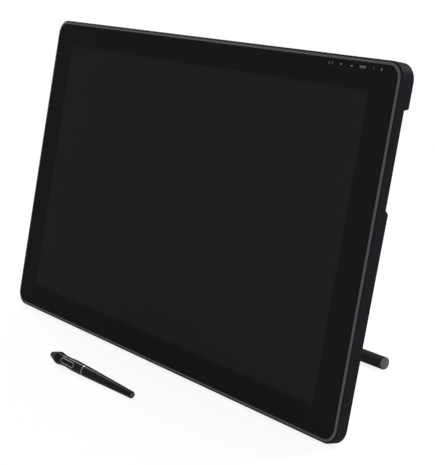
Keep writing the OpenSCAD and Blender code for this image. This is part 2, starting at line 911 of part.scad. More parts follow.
module upper_cover() {
    bay_x0 = -bay_x - bay_w / 2;
    bay_x1 = -bay_x + bay_w / 2;
    color("#202124")
        on_desk()
            difference() {
                intersection() {
                    rear_slab(d_tray, d_upper);
                    upper_section(-body_w / 2 - 1, body_w / 2 + 1, 0);
                }
                difference() {
                    intersection() {
                        plate(body_w - 2 * cover_wall, body_h - 2 * cover_wall, corner_r - cover_wall,
                            d_tray - 1, d_upper - cover_wall);
                        upper_section(-body_w / 2, body_w / 2, cover_wall);
                    }
                    box(bay_x0 - cover_wall, bay_x1 + cover_wall, upper_y - upper_slope - 1,
                        bay_y + cover_wall, d_tray - 2, d_upper + 1);
                    for (at = upper_screw_at)
                        post(at, screw_head_r + 1, d_tray - 2, d_upper + 1);
                }
                box(bay_x0, bay_x1, upper_y - upper_slope - 1, bay_y, d_tray - 2, d_upper + 1);
                for (x = usb_x)
                    box(x - usb_w / 2 - port_cut, x + usb_w / 2 + port_cut, bay_y - 1, bay_y + cover_wall + 1,
                        port_d - usb_h / 2 - port_cut, port_d + usb_h / 2 + port_cut);
                box(video_x - video_w / 2 - port_cut, video_x + video_w / 2 + port_cut, bay_y - 1,
                    bay_y + cover_wall + 1, port_d - usb_h / 2 - port_cut, port_d + usb_h / 2 + port_cut);
                for (at = upper_screw_at) {
                    post(at, screw_hole_r, d_tray - 1, d_upper + 1);
                    post(at, screw_head_r + fit_gap, d_upper - head_room, d_upper + 1);
                }
            }
}

module lower_cover() {
    color("#202124")
        on_desk()
            difference() {
                intersection() {
                    translate([0, 0, -d_tray])
                        rotate([-lower_tilt, 0, 0])
                            translate([0, 0, d_tray])
                                rear_slab(d_tray - 4, d_foot);
                    across(-body_w / 2 - 1, body_w / 2 + 1, [
                        [-1, d_tray], [lower_h + lower_slope, d_tray], [lower_h, d_lower],
                        [lower_h - 1, d_lower + 1], [-1, d_lower + 1]
                    ]);
                }
                box(-room_x, room_x, room_y0, room_y1, d_tray - 1, d_tray + lower_room);
                for (at = concat(free_mounts, stand_mounts))
                    post(at, boss_r + boss_gap, d_tray - 1, d_mount + 1);
                for (at = lower_screw_at) {
                    post(at, screw_hole_r, d_tray - 1, d_mount + 1);
                    post(at, screw_head_r + fit_gap, lower_depth(at[1]) - head_room, d_mount + 1);
                }
            }
}

// Pan head screw whose head lies just below a rear face
module cover_screw(at, face) {
    post(at, screw_r, d_floor + 0.2, face - head_room + 0.1);
    difference() {
        post(at, screw_head_r, face - head_room, face - screw_sink);
        post(at, screw_head_r * 0.36, face - screw_sink - screw_head_h * 0.6, face);
    }
}

module cover_screws() {
    color("#3a3a3c")
        on_desk() {
            for (at = upper_screw_at)
                cover_screw(at, d_upper);
            for (at = lower_screw_at)
                cover_screw(at, lower_depth(at[1]));
        }
}

module rest_feet() {
    color("#151515")
        on_desk()
            for (x = [-1, 0, 1] * (body_w / 2 - foot_in))
                across(x - foot_l / 2, x + foot_l / 2, [
                    [0, foot_d0], [0, foot_d1], [rest_y(foot_d1), foot_d1], [rest_y(foot_d0), foot_d0]
                ]);
}

module back_pads() {
    color("#151515")
        on_desk()
            for (x = [-1, 1] * (body_w / 2 - back_pad_in)) {
                post([x, body_h - upper_h / 2], pad_r, d_upper, d_upper + back_pad_t);
                translate([x, back_pad_y, -lower_depth(back_pad_y)])
                    rotate([-lower_tilt, 0, 0])
                        translate([0, 0, -back_pad_t])
                            cylinder(r = pad_r, h = back_pad_t);
            }
}

// Stand: bracket on the back of the body
module ear(x0, x1, y, d, r) {
    box(x0, x1, y - r, y + r, d_bracket - 0.5, d);
    cross_rod(x0, x1, y, d, r);
}

module stand_bracket() {
    color("#2a2b2e")
        on_desk()
            difference() {
                union() {
                    translate([0, (bracket_y0 + bracket_y1) / 2, -d_bracket])
                        linear_extrude(bracket_t)
                            outline(bracket_w, bracket_y1 - bracket_y0, bracket_corner);
                    for (x = [-ear_x1, ear_x0])
                        ear(x, x + ear_t, hinge_y, hinge_d, ear_r);
                    for (x = [-lug_x1, lug_x0])
                        ear(x, x + lug_t, lever_y, pivot_d, lug_r);
                }
                cross_rod(-ear_x1 - 1, ear_x1 + 1, hinge_y, hinge_d, bush_r + fit_gap);
                cross_rod(-lug_x1 - 1, lug_x1 + 1, lever_y, pivot_d, lever_pin_r + fit_gap);
                for (at = stand_mounts)
                    post(at, mount_r + 0.2, d_mount - 1, d_bracket + 1);
            }
}

module stand_screws() {
    color("#3a3a3c")
        on_desk()
            for (at = stand_mounts) {
                post(at, stand_screw_r, d_mount - stand_screw_l, d_bracket + 0.1);
                difference() {
                    post(at, stand_head_r, d_bracket, d_bracket + stand_head_h);
                    translate([at[0], at[1], -d_bracket - stand_head_h - 1])
                        cylinder(r = stand_head_r * 0.42, h = 1 + stand_head_h * 0.6, $fn = 6);
                }
            }
}

module hinge_bushes() {
    color("#b08d4a")
        on_desk()
            for (s = [0, 1])
                mirror([s, 0, 0])
                    difference() {
                        union() {
                            cross_rod(ear_x0, ear_x1, hinge_y, hinge_d, bush_r);
                            cross_rod(ear_x0 - bush_flange_t, ear_x0, hinge_y, hinge_d, bush_r + 1.5);
                        }
                        cross_rod(ear_x0 - bush_flange_t - 1, ear_x1 + 1, hinge_y, hinge_d, pin_r + run_gap);
                    }
}

module lever_pin() {
    color("#b8b8ba")
        on_desk() {
            cross_rod(-lug_x1 - 0.8, lug_x1 + 0.1, lever_y, pivot_d, lever_pin_r);
            cross_rod(lug_x1, lug_x1 + 1.4, lever_y, pivot_d, lever_pin_r + 1.4);
        }
}

// Lever spring: a coil between the bracket and the lever, with straight ends
spring_d0 = d_bracket;
spring_d1 = tab_d0 - 0.1;
spring_end = 2 * spring_wire_r;
spring_steps = 8;
spring_body = spring_d1 - spring_d0 - 2 * spring_end;
function coil_point(k) = let(n = spring_turns * spring_steps, a = 360 * k / spring_steps)
    [spring_r * cos(a), spring_r * sin(a), spring_end + spring_body * k / n];
spring_path = concat(
    [[spring_r, 0, 0]],
    [for (k = [0:spring_turns * spring_steps]) coil_point(k)],
    [[spring_r, 0, spring_d1 - spring_d0]]);
spring_rings = len(spring_path);
function unit(v) = v / norm(v);
function path_way(k) = unit(spring_path[min(k + 1, spring_rings - 1)] - spring_path[max(k - 1, 0)]);
function ring_point(k, j) = let(
    way = k == 0 || k == spring_rings - 1 ? [0, 0, 1] : path_way(k),
    out = unit([spring_path[k][0], spring_path[k][1], 0]),
    side = unit(cross(way, out)),
    face = cross(side, way))
    spring_path[k] + spring_wire_r * (cos(60 * j) * face + sin(60 * j) * side);
spring_least = min([for (i = [0:spring_rings - 1], j = [i + 5:1:spring_rings - 1])
    norm(spring_path[i] - spring_path[j])]) - 2 * spring_wire_r;
echo(spring_least_gap = spring_least);

module lever_spring() {
    color("#c0c0c4")
        on_desk()
            translate([0, spring_y, -spring_d1])
                polyhedron(
                    points = [for (k = [0:spring_rings - 1], j = [0:5]) ring_point(k, j)],
                    faces = concat(
                        [for (k = [0:spring_rings - 2], j = [0:5])
                            [k * 6 + j, k * 6 + (j + 1) % 6, k * 6 + 6 + j]],
                        [for (k = [0:spring_rings - 2], j = [0:5])
                            [k * 6 + (j + 1) % 6, k * 6 + 6 + (j + 1) % 6, k * 6 + 6 + j]],
                        [for (j = [1:4]) [0, j + 1, j]],
                        [for (j = [1:4]) [0, j, j + 1] + [1, 1, 1] * 6 * (spring_rings - 1)]));
}

// Release lever: a bent plate that carries the brake pad behind the drum
module release_lever() {
    color("#2a2b2e")
        on_desk()
            difference() {
                union() {
                    intersection() {
                        across(-lever_w / 2 - 1, lever_w / 2 + 1, [
                            [hinge_y - shoe_half, shoe_d0], [hinge_y + shoe_half + 4, shoe_d0],
                            [lever_y - 7, pivot_d - 1], [lever_y, tab_d0], [hinge_y + lever_up, tab_d0],
                            [hinge_y + lever_up, tab_d0 + lever_t], [lever_y + 6, tab_d0 + lever_t],
                            [lever_y - 5, pivot_d + 4], [hinge_y + shoe_half + 6, shoe_d1],
                            [hinge_y - shoe_half, shoe_d1]
                        ]);
                        translate([0, hinge_y + (lever_up - shoe_half) / 2, -shoe_d1 - 1])
                            linear_extrude(shoe_d1 - hinge_d + 1)
                                outline(lever_w, lever_up + shoe_half, lever_corner);
                    }
                    cross_rod(-lever_w / 2, lever_w / 2, lever_y, pivot_d, pivot_r);
                }
                cross_rod(-lever_w / 2 - 1, lever_w / 2 + 1, lever_y, pivot_d, lever_pin_r + run_gap);
            }
}

module brake_pad() {
    color("#4a4038")
        on_desk()
            box(-drum_w / 2 + 2, drum_w / 2 - 2, hinge_y - shoe_half + 1, hinge_y + shoe_half,
                pad_d0, shoe_d0);
}

// Stand: the leg and what turns with it
module leg_rod(x0, x1, along, r) {
    translate([x0, along, 0])
        rotate([0, 90, 0])
            cylinder(r = r, h = x1 - x0);
}

module hinge_pin() {
    color("#b8b8ba")
        leg_out()
            leg_rod(-pin_half, pin_half, 0, pin_r);
}

module pin_clips() {
    color("#3a3a3c")
        leg_out()
            for (s = [0, 1])
                mirror([s, 0, 0])
                    difference() {
                        leg_rod(arm_x1 + clip_gap, arm_x1 + clip_gap + clip_t, 0, pin_r + 2.4);
                        leg_rod(arm_x1, arm_x1 + clip_gap + clip_t + 1, 0, pin_r + fit_gap);
                        translate([arm_x1, 0, -pin_r * 0.5])
                            cube([clip_t + clip_gap + 1, pin_r + 4, pin_r]);
                    }
}

module brake_drum() {
    color("#8a8a8e")
        leg_out()
            difference() {
                leg_rod(-drum_w / 2, drum_w / 2, 0, drum_r);
                leg_rod(-drum_w / 2 - 1, drum_w / 2 + 1, 0, pin_r + fit_gap);
            }
}

module leg_arms() {
    color("#2a2b2e")
        leg_out()
            for (s = [0, 1])
                mirror([s, 0, 0])
                    difference() {
                        union() {
                            leg_rod(arm_x0, arm_x1, 0, arm_r);
                            leg_rod(arm_x0, arm_x1, leg_l, arm_foot_r);
                            translate([arm_x0, 0, -arm_foot_r])
                                cube([arm_t, leg_l, 2 * arm_foot_r]);
                        }
                        leg_rod(arm_x0 - 1, arm_x1 + 1, 0, pin_r + fit_gap);
                        leg_rod(arm_x0 - 1, arm_x1 + 1, leg_l, bar_r + fit_gap);
                        leg_rod(arm_x0 - 1, arm_x0 + arm_t / 2, brace_at, brace_r + fit_gap);
                        translate([arm_x0 + arm_t / 2, leg_l + bar_r - 0.5, 0])
                            rotate([-90, 0, 0])
                                cylinder(r = 1.2 + fit_gap, h = arm_r);
                    }
}

module leg_brace() {
    color("#2a2b2e")
        leg_out()
            leg_rod(-arm_x0 - arm_t / 2, arm_x0 + arm_t / 2, brace_at, brace_r);
}

module arm_screws() {
    color("#3a3a3c")
        leg_out()
            for (s = [-1, 1])
                translate([s * (arm_x0 + arm_t / 2), leg_l + bar_r + fit_gap, 0])
                    rotate([-90, 0, 0])
                        cylinder(r = 1.2, h = arm_foot_r - bar_r - 0.2);
}

module foot_bar() {
    color("#2a2b2e")
        leg_out()
            difference() {
                leg_rod(-bar_half + cap_t, bar_half - cap_t, leg_l, bar_r);
                leg_rod(-bar_half, bar_half, leg_l, bar_r - bar_wall);
            }
}

module bar_sleeves() {
    color("#18181a")
        leg_out()
            for (s = [0, 1])
                mirror([s, 0, 0])
                    difference() {
                        leg_rod(sleeve_x0, bar_half, leg_l, sleeve_r);
                        leg_rod(sleeve_x0 - 1, bar_half + 1, leg_l, bar_r + fit_gap);
                        leg_rod(bar_half - cap_t, bar_half + 1, leg_l, cap_r + fit_gap);
                    }
}

module bar_end_caps() {
    color("#6a6a6c")
        leg_out()
            for (s = [0, 1])
                mirror([s, 0, 0]) {
                    leg_rod(bar_half - cap_t, bar_half, leg_l, cap_r);
                    leg_rod(bar_half - cap_t - 8, bar_half - cap_t + 0.1, leg_l, bar_r - bar_wall - fit_gap);
                }
}

// Stylus, built along its own axis from the tip
module turned(section) {
    rotate_extrude()
        polygon([for (p = section) [p[1], p[0]]]);
}

// Stadium cutter through the side of the stylus, over the rocker button
module rocker_prism(grow, from, to) {
    translate([from, 0, rocker_at])
        rotate([0, 90, 0])
            linear_extrude(to - from)
                stadium(rocker_l + 2 * grow, rocker_w + 2 * grow);
}

// Smooth line through points of distance and radius
function steepness(p, i) = (p[i + 1][1] - p[i][1]) / (p[i + 1][0] - p[i][0]);
function slope_at(p, i) =
    i == 0 ? steepness(p, 0) :
    i == len(p) - 1 ? steepness(p, i - 1) :
    let(a = p[i][0] - p[i - 1][0], b = p[i + 1][0] - p[i][0])
        (steepness(p, i - 1) * b + steepness(p, i) * a) / (a + b);
function smooth_line(p, n) = concat(
    [for (i = [0:len(p) - 2], k = [0:n - 1])
        let(h = p[i + 1][0] - p[i][0], u = k / n, v = 1 - u)
            [p[i][0] + h * u,
            v * v * (1 + 2 * u) * p[i][1] + u * u * (3 - 2 * u) * p[i + 1][1]
            + h * u * v * (v * slope_at(p, i) - u * slope_at(p, i + 1))]],
    [p[len(p) - 1]]);

// Outer line of the grip, raised by a height
function grip_line(up) = smooth_line([
    [nib_out, nose_r + up], [(nib_out + flare_at) / 2, (nose_r + flare_r) / 2 + 0.2 + up],
    [flare_at - 1.6, flare_r - 0.25 + up], [flare_at, flare_r + up], [flare_at + 1.6, flare_r - 0.2 + up],
    [(flare_at + neck_at) / 2 + 0.5, (flare_r + neck_r) / 2 - 0.1 + up], [neck_at, neck_r + up],
    [swell_at, swell_r + up], [seam_at, seam_r + up]
], 3);

module pen_grip() {
    color("#202124")
        pen_on_desk()
            difference() {
                turned(concat([[nib_out, nib_r + run_gap]], grip_line(0), [
                    [seam_at, grip_bore], [coil_at + coil_l, grip_bore],
                    [coil_at + coil_l, coil_r + run_gap], [coil_at, coil_r + run_gap],
                    [coil_at, nib_r + run_gap]
                ]));
                rocker_prism(rocker_gap + surround_w, 0, flare_r + 2);
                translate([rocker_x, 0, rocker_at])
                    rotate([90, 0, 0])
                        cylinder(r = rocker_pin_r + fit_gap, h = rocker_w + 3.2, center = true);
            }
}

module pen_surround() {
    color("#b4b4b8")
        pen_on_desk()
            difference() {
                intersection() {
                    rocker_prism(rocker_gap + surround_w - fit_gap, 0, flare_r + 2);
                    turned(concat([for (p = grip_line(surround_up)) if (p[0] > flare_at - 2) p],
                        [[seam_at, grip_bore + 0.2], [flare_at - 1.6, grip_bore + 0.2]]));
                }
                rocker_prism(rocker_gap, 0, flare_r + 3);
                translate([rocker_x, 0, rocker_at])
                    rotate([90, 0, 0])
                        cylinder(r = rocker_pin_r + fit_gap, h = rocker_w + 3.2, center = true);
            }
}

module pen_coil() {
    color("#b06a3a")
        pen_on_desk()
            turned([
                [coil_at, ferrite_r + fit_gap], [coil_at, coil_r], [coil_at + coil_l, coil_r],
                [coil_at + coil_l, ferrite_r + fit_gap]
            ]);
}

module pen_ferrite() {
    color("#303034")
        pen_on_desk()
            turned([
                [coil_at, nib_r + run_gap], [coil_at, ferrite_r], [coil_at + coil_l, ferrite_r],
                [coil_at + coil_l, nib_r + run_gap]
            ]);
}

module pen_pressure_cell() {
    color("#8a8a8e")
        pen_on_desk()
            difference() {
                translate([0, 0, nib_l - 1])
                    cylinder(r = grip_bore - fit_gap, h = cell_l);
                translate([0, 0, nib_l - 2])
                    cylinder(r = nib_shaft_r + run_gap, h = nib_room + 2);
            }
}

module pen_circuit() {
    color("#15301f")
        pen_on_desk()
            translate([-circuit_t / 2, -barrel_bore + circuit_gap, nib_l - 1 + cell_l])
                cube([circuit_t, 2 * (barrel_bore - circuit_gap), circuit_l]);
}

module pen_seam_ring() {
    color("#c4c4c8")
        pen_on_desk()
            turned([
                [seam_at, grip_bore], [seam_at, seam_r], [barrel_at, seam_r], [barrel_at, grip_bore]
            ]);
}

module pen_barrel() {
    bore_end = nib_l + cell_l + circuit_l + 2;
    color("#202124")
        pen_on_desk()
            turned([
                [seam_at - spigot_l, barrel_bore], [seam_at - spigot_l, grip_bore - fit_gap],
                [barrel_at, grip_bore - fit_gap], [barrel_at, seam_r], [tail_at, tail_r],
                [pen_l - 0.2, tail_r - 0.2], [pen_l, tail_r - 0.7], [pen_l, plug_r + fit_gap],
                [pen_l - 5, plug_r + fit_gap], [pen_l - 5, 0], [bore_end, 0], [bore_end, barrel_bore]
            ]);
}

module pen_tail_plug() {
    color("#6a6a6c")
        pen_on_desk()
            turned([
                [pen_l - 5, 0], [pen_l - 5, plug_r], [pen_l - 0.4, plug_r], [pen_l - 0.15, plug_r - 0.25],
                [pen_l - 0.15, 0]
            ]);
}

module pen_rocker_pin() {
    color("#b8b8ba")
        pen_on_desk()
            translate([rocker_x, 0, rocker_at])
                rotate([90, 0, 0])
                    cylinder(r = rocker_pin_r, h = rocker_w + 3, center = true);
}

module pen_rocker() {
    color("#18181a")
        pen_on_desk()
            difference() {
                intersection() {
                    rocker_prism(0, rocker_low, flare_r + 2);
                    turned(concat(grip_line(rocker_rise), [[seam_at, 0], [nib_out, 0]]));
                }
                translate([rocker_x, 0, rocker_at])
                    rotate([90, 0, 0])
                        cylinder(r = rocker_pin_r + run_gap, h = rocker_w + 1, center = true);
            }
}

module pen_nib() {
    color("#c8c8ca")
        pen_on_desk()
            turned([
                [0, 0], [0.12, nib_r * 0.5], [0.5, nib_r * 0.85], [1.1, nib_r], [coil_at + 2, nib_r],
                [coil_at + 2, nib_shaft_r], [nib_l - 0.1, nib_shaft_r], [nib_l - 0.1, 0]
            ]);
}

cover_glass();
border_mask();
bonding_film();
glass_tape();
trim_ring();
lcd_panel();
diffuser_sheets();
light_guide();
led_strip();
backlight_pan();
pen_sensor();
sensor_shield();
touch_key_board();
panel_ribbon();
sensor_ribbon();
key_ribbon();
rear_housing();
main_board();
board_chips();
board_screws();
usb_ports();
video_port();
pen_controller();
mount_plate();
frame_screws();
upper_cover();
lower_cover();
cover_screws();
rest_feet();
back_pads();
stand_bracket();
stand_screws();
hinge_bushes();
lever_pin();
lever_spring();
release_lever();
brake_pad();
hinge_pin();
pin_clips();
brake_drum();
leg_arms();
leg_brace();
arm_screws();
foot_bar();
bar_sleeves();
bar_end_caps();
pen_grip();
pen_surround();
pen_coil();
pen_ferrite();
pen_pressure_cell();
pen_circuit();
pen_seam_ring();
pen_barrel();
pen_tail_plug();
pen_rocker_pin();
pen_rocker();
pen_nib();
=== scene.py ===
import json
from math import pi, radians

import bpy
from mathutils import Matrix, Vector

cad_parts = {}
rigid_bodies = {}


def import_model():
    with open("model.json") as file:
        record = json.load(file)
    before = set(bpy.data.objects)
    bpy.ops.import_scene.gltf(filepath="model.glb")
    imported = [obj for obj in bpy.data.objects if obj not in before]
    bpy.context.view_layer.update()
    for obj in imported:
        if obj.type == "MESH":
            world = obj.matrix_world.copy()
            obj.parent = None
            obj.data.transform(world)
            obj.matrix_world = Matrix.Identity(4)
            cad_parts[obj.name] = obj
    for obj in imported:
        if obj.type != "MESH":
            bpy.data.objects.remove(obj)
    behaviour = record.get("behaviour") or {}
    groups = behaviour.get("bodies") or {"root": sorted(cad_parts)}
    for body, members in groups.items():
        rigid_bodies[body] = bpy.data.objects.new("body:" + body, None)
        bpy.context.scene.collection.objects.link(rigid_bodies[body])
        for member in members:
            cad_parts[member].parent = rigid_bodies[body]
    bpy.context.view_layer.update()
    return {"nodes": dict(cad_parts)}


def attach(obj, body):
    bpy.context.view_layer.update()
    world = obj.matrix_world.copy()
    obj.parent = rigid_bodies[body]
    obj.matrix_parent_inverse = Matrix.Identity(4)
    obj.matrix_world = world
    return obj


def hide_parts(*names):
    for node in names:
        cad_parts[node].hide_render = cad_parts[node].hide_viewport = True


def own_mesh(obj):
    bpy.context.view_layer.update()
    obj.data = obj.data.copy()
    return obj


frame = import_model()
nodes = frame["nodes"]
bpy.ops.object.select_all(action="DESELECT")

# Rear housing: a moulded tray of black plastic that forms the sides and the back of the tablet.
# Its outside has a fine spark texture from the mould, and every other piece is screwed or taped into it.
HOUSING_BLACK = (0.0084, 0.0084, 0.0104)
GRAIN_DETAIL = 3
PATCH_SCALE = 18
PATCH_DETAIL = 2
PATCH_RANGE = (0.3, 0.7)
POLISH_SWING = 0.05
RELIEF_STRENGTH = 0.5


def grained(name, colour, spread, roughness, grain, depth, level=0.5, metallic=0.0, stretch=(1, 1, 1)):
    material = bpy.data.materials.new(name)
    material.use_nodes = True
    tree = material.node_tree
    shader = tree.nodes["Principled BSDF"]
    shader.inputs["Metallic"].default_value = metallic
    shader.inputs["Specular IOR Level"].default_value = level
    place = tree.nodes.new("ShaderNodeTexCoord")
    drawn = tree.nodes.new("ShaderNodeMapping")
    drawn.inputs["Scale"].default_value = stretch
    tree.links.new(place.outputs["Object"], drawn.inputs["Vector"])
    fine = tree.nodes.new("ShaderNodeTexNoise")
    fine.inputs["Scale"].default_value = 1 / grain
    fine.inputs["Detail"].default_value = GRAIN_DETAIL
    tree.links.new(drawn.outputs["Vector"], fine.inputs["Vector"])
    broad = tree.nodes.new("ShaderNodeTexNoise")
    broad.inputs["Scale"].default_value = PATCH_SCALE
    broad.inputs["Detail"].default_value = PATCH_DETAIL
    tree.links.new(place.outputs["Object"], broad.inputs["Vector"])
    tint = tree.nodes.new("ShaderNodeMix")
    tint.data_type = "RGBA"
    tint.inputs["A"].default_value = [c * (1 - spread) for c in colour] + [1]
    tint.inputs["B"].default_value = [min(1, c * (1 + spread)) for c in colour] + [1]
    tree.links.new(fine.outputs["Fac"], tint.inputs["Factor"])
    tree.links.new(tint.outputs["Result"], shader.inputs["Base Color"])
    polish = tree.nodes.new("ShaderNodeMapRange")
    polish.inputs["From Min"].default_value, polish.inputs["From Max"].default_value = PATCH_RANGE
    polish.inputs["To Min"].default_value = roughness - POLISH_SWING
    polish.inputs["To Max"].default_value = roughness + POLISH_SWING
    tree.links.new(broad.outputs["Fac"], polish.inputs["Value"])
    tree.links.new(polish.outputs["Result"], shader.inputs["Roughness"])
    relief = tree.nodes.new("ShaderNodeBump")
    relief.inputs["Strength"].default_value = RELIEF_STRENGTH
    relief.inputs["Distance"].default_value = depth
    tree.links.new(fine.outputs["Fac"], relief.inputs["Height"])
    tree.links.new(relief.outputs["Normal"], shader.inputs["Normal"])
    return material


def dress(material, *names):
    for name in names:
        nodes[name].material_slots[0].material = material


moulded_black = grained(
    "moulded_black", HOUSING_BLACK, spread=0.3, roughness=0.55, grain=0.0007, depth=0.0001, level=0.014
)
dress(moulded_black, "rear_housing")

# Mounting plate, shield and backlight pan: pressed from bright sheet steel, with its rolling lines.
# The plate carries the threaded bosses, and the pan holds the light guide and the sheets in front of it.
STEEL_BRIGHT = (0.42, 0.42, 0.44)
sheet_steel = grained(
    "sheet_steel", STEEL_BRIGHT, spread=0.12, roughness=0.38, grain=0.0006, depth=0.00001,
    metallic=1.0, stretch=(0.05, 1, 1),
)
dress(sheet_steel, "mount_plate", "sensor_shield", "backlight_pan", "pen_pressure_cell")

# Display stack: lamp strip, clear light guide, white diffuser sheets and the dark display panel.
# The layers lie on each other in the pan, and a clear film bonds the panel to the glass.
# Each lamp is a yellow dot on the white strip, and the panel has fine columns.
STRIP_WHITE = (0.75, 0.75, 0.72)
LAMP_YELLOW = (0.75, 0.6, 0.12)
LAMP_PITCH = 0.006
GUIDE_CLEAR = (0.8, 0.84, 0.86)
SHEET_WHITE = (0.85, 0.85, 0.83)
PANEL_DARK = (0.012, 0.012, 0.013)
COLUMN_DARK = (0.006, 0.006, 0.007)
COLUMN_PITCH = 0.00025
FILM_CLEAR = (0.5, 0.52, 0.54)
WAVE_TURN = pi / 10
LINE_SOFT = 0.06


def lined(material, colour, pitch, share):
    tree = material.node_tree
    base = tree.nodes["Principled BSDF"].inputs["Base Color"]
    bands = tree.nodes.new("ShaderNodeTexWave")
    bands.bands_direction = "X"
    bands.wave_profile = "SAW"
    bands.inputs["Scale"].default_value = WAVE_TURN / pitch
    tree.links.new(tree.nodes["Texture Coordinate"].outputs["Object"], bands.inputs["Vector"])
    edge = tree.nodes.new("ShaderNodeMapRange")
    edge.inputs["From Min"].default_value = share + LINE_SOFT
    edge.inputs["From Max"].default_value = share - LINE_SOFT
    tree.links.new(bands.outputs["Fac"], edge.inputs["Value"])
    lines = tree.nodes.new("ShaderNodeMix")
    lines.data_type = "RGBA"
    lines.inputs["B"].default_value = (*colour, 1)
    tree.links.new(edge.outputs["Result"], lines.inputs["Factor"])
    tree.links.new(base.links[0].from_socket, lines.inputs["A"])
    tree.links.new(lines.outputs["Result"], base)


def cleared(material, share):
    material.node_tree.nodes["Principled BSDF"].inputs["Transmission Weight"].default_value = share


lamp_strip = grained("lamp_strip", STRIP_WHITE, spread=0.05, roughness=0.5, grain=0.001, depth=0.00001)
lined(lamp_strip, LAMP_YELLOW, LAMP_PITCH, share=0.5)
dress(lamp_strip, "led_strip")
clear_guide = grained("clear_guide", GUIDE_CLEAR, spread=0.03, roughness=0.12, grain=0.001, depth=0.000002)
cleared(clear_guide, share=0.6)
dress(clear_guide, "light_guide")
diffuser_white = grained(
    "diffuser_white", SHEET_WHITE, spread=0.03, roughness=0.8, grain=0.0004, depth=0.000005
)
dress(diffuser_white, "diffuser_sheets")
panel_dark = grained("panel_dark", PANEL_DARK, spread=0.05, roughness=0.2, grain=0.0005, depth=0.000001)
lined(panel_dark, COLUMN_DARK, COLUMN_PITCH, share=0.3)
dress(panel_dark, "lcd_panel")
bond_film = grained("bond_film", FILM_CLEAR, spread=0.02, roughness=0.1, grain=0.001, depth=0.000001)
cleared(bond_film, share=0.9)
dress(bond_film, "bonding_film")

# Circuit boards and ribbon cables: green boards with lighter tracks and black parts, and amber cables.
# The boards sit on posts of the tray, and the cables come up through slots in its floor.
BOARD_GREEN = (0.02, 0.1, 0.05)
TRACK_GREEN = (0.045, 0.19, 0.09)
TRACK_PITCH = 0.0016
CHIP_BLACK = (0.02, 0.02, 0.022)
CABLE_AMBER = (0.45, 0.25, 0.07)
WIRE_BROWN = (0.3, 0.13, 0.04)
WIRE_PITCH = 0.001
board_green = grained("board_green", BOARD_GREEN, spread=0.2, roughness=0.4, grain=0.0018, depth=0.00002)
lined(board_green, TRACK_GREEN, TRACK_PITCH, share=0.3)
dress(board_green, "pen_sensor", "touch_key_board", "main_board", "pen_controller", "pen_circuit")
part_black = grained("part_black", CHIP_BLACK, spread=0.2, roughness=0.6, grain=0.0005, depth=0.00001)
dress(part_black, "board_chips", "pen_ferrite")
amber_film = grained("amber_film", CABLE_AMBER, spread=0.1, roughness=0.3, grain=0.0008, depth=0.00001)
lined(amber_film, WIRE_BROWN, WIRE_PITCH, share=0.55)
dress(amber_film, "panel_ribbon", "sensor_ribbon", "key_ribbon")

# Sockets and plated screws: nickel plated steel under the covers, and blackened screws in the tray.
# The sockets are soldered to the main board and open downwards into the cable bay.
NICKEL = (0.5, 0.5, 0.51)
BLACKENED = (0.035, 0.035, 0.037)
plated_steel = grained(
    "plated_steel", NICKEL, spread=0.1, roughness=0.28, grain=0.0004, depth=0.000005, metallic=1.0
)
dress(plated_steel, "usb_ports", "video_port", "board_screws")
dark_steel = grained(
    "dark_steel", BLACKENED, spread=0.2, roughness=0.42, grain=0.0004, depth=0.000008,
    level=0.2, metallic=0.7,
)
dress(dark_steel, "frame_screws")

# Trim ring: a dark anodised aluminium frame with a sloped face all round the glass.
# It carries the glass on a taped ledge and is screwed into the tray from behind.
RING_GREY = (0.063, 0.063, 0.065)
TAPE_GREY = (0.05, 0.05, 0.05)
ring_metal = grained(
    "ring_metal", RING_GREY, spread=0.08, roughness=0.5, grain=0.0005, depth=0.000006,
    level=0.02, metallic=0.25,
)
dress(ring_metal, "trim_ring")
tape_foam = grained("tape_foam", TAPE_GREY, spread=0.3, roughness=0.9, grain=0.0006, depth=0.00003)
dress(tape_foam, "glass_tape")

# Cover glass: one etched sheet of glass over the whole front, with a black border printed behind it.
# The switched off panel shows through as a window that is only a little lighter than the border.
SCREEN_TILT = radians(78)
SCREEN_FOOT = Vector((0, -0.00822545, 0.00266601))
WINDOW_HALF = (0.24115, 0.1377)
WINDOW_MIDDLE = 0.16585
WINDOW_SOFT = 0.0018
BORDER_BLACK = (0.008, 0.008, 0.0081)
WINDOW_BLACK = (0.0122, 0.0122, 0.0122)
PRINT_BLACK = (0.012, 0.012, 0.012)
etched_glass = grained(
    "etched_glass", BORDER_BLACK, spread=0.06, roughness=0.4, grain=0.0004, depth=0.0000015, level=0.003
)
tree = etched_glass.node_tree
lie_flat = tree.nodes.new("ShaderNodeMapping")
lie_flat.inputs["Rotation"].default_value = (-SCREEN_TILT, 0, 0)
lie_flat.inputs["Location"].default_value = (
    Matrix.Rotation(-SCREEN_TILT, 3, "X") @ -SCREEN_FOOT - Vector((0, WINDOW_MIDDLE, 0))
)
tree.links.new(tree.nodes["Texture Coordinate"].outputs["Object"], lie_flat.inputs["Vector"])
apart = tree.nodes.new("ShaderNodeSeparateXYZ")
tree.links.new(lie_flat.outputs["Vector"], apart.inputs["Vector"])
inside = []
for axis, half in zip("XY", WINDOW_HALF):
    size = tree.nodes.new("ShaderNodeMath")
    size.operation = "ABSOLUTE"
    tree.links.new(apart.outputs[axis], size.inputs[0])
    edge = tree.nodes.new("ShaderNodeMapRange")
    edge.inputs["From Min"].default_value = half + WINDOW_SOFT
    edge.inputs["From Max"].default_value = half - WINDOW_SOFT
    tree.links.new(size.outputs[0], edge.inputs["Value"])
    inside.append(edge.outputs["Result"])
both = tree.nodes.new("ShaderNodeMath")
both.operation = "MULTIPLY"
tree.links.new(inside[0], both.inputs[0])
tree.links.new(inside[1], both.inputs[1])
window = tree.nodes.new("ShaderNodeMix")
window.data_type = "RGBA"
window.inputs["B"].default_value = (*WINDOW_BLACK, 1)
tree.links.new(both.outputs[0], window.inputs["Factor"])
tree.links.new(tree.nodes["Mix"].outputs["Result"], window.inputs["A"])
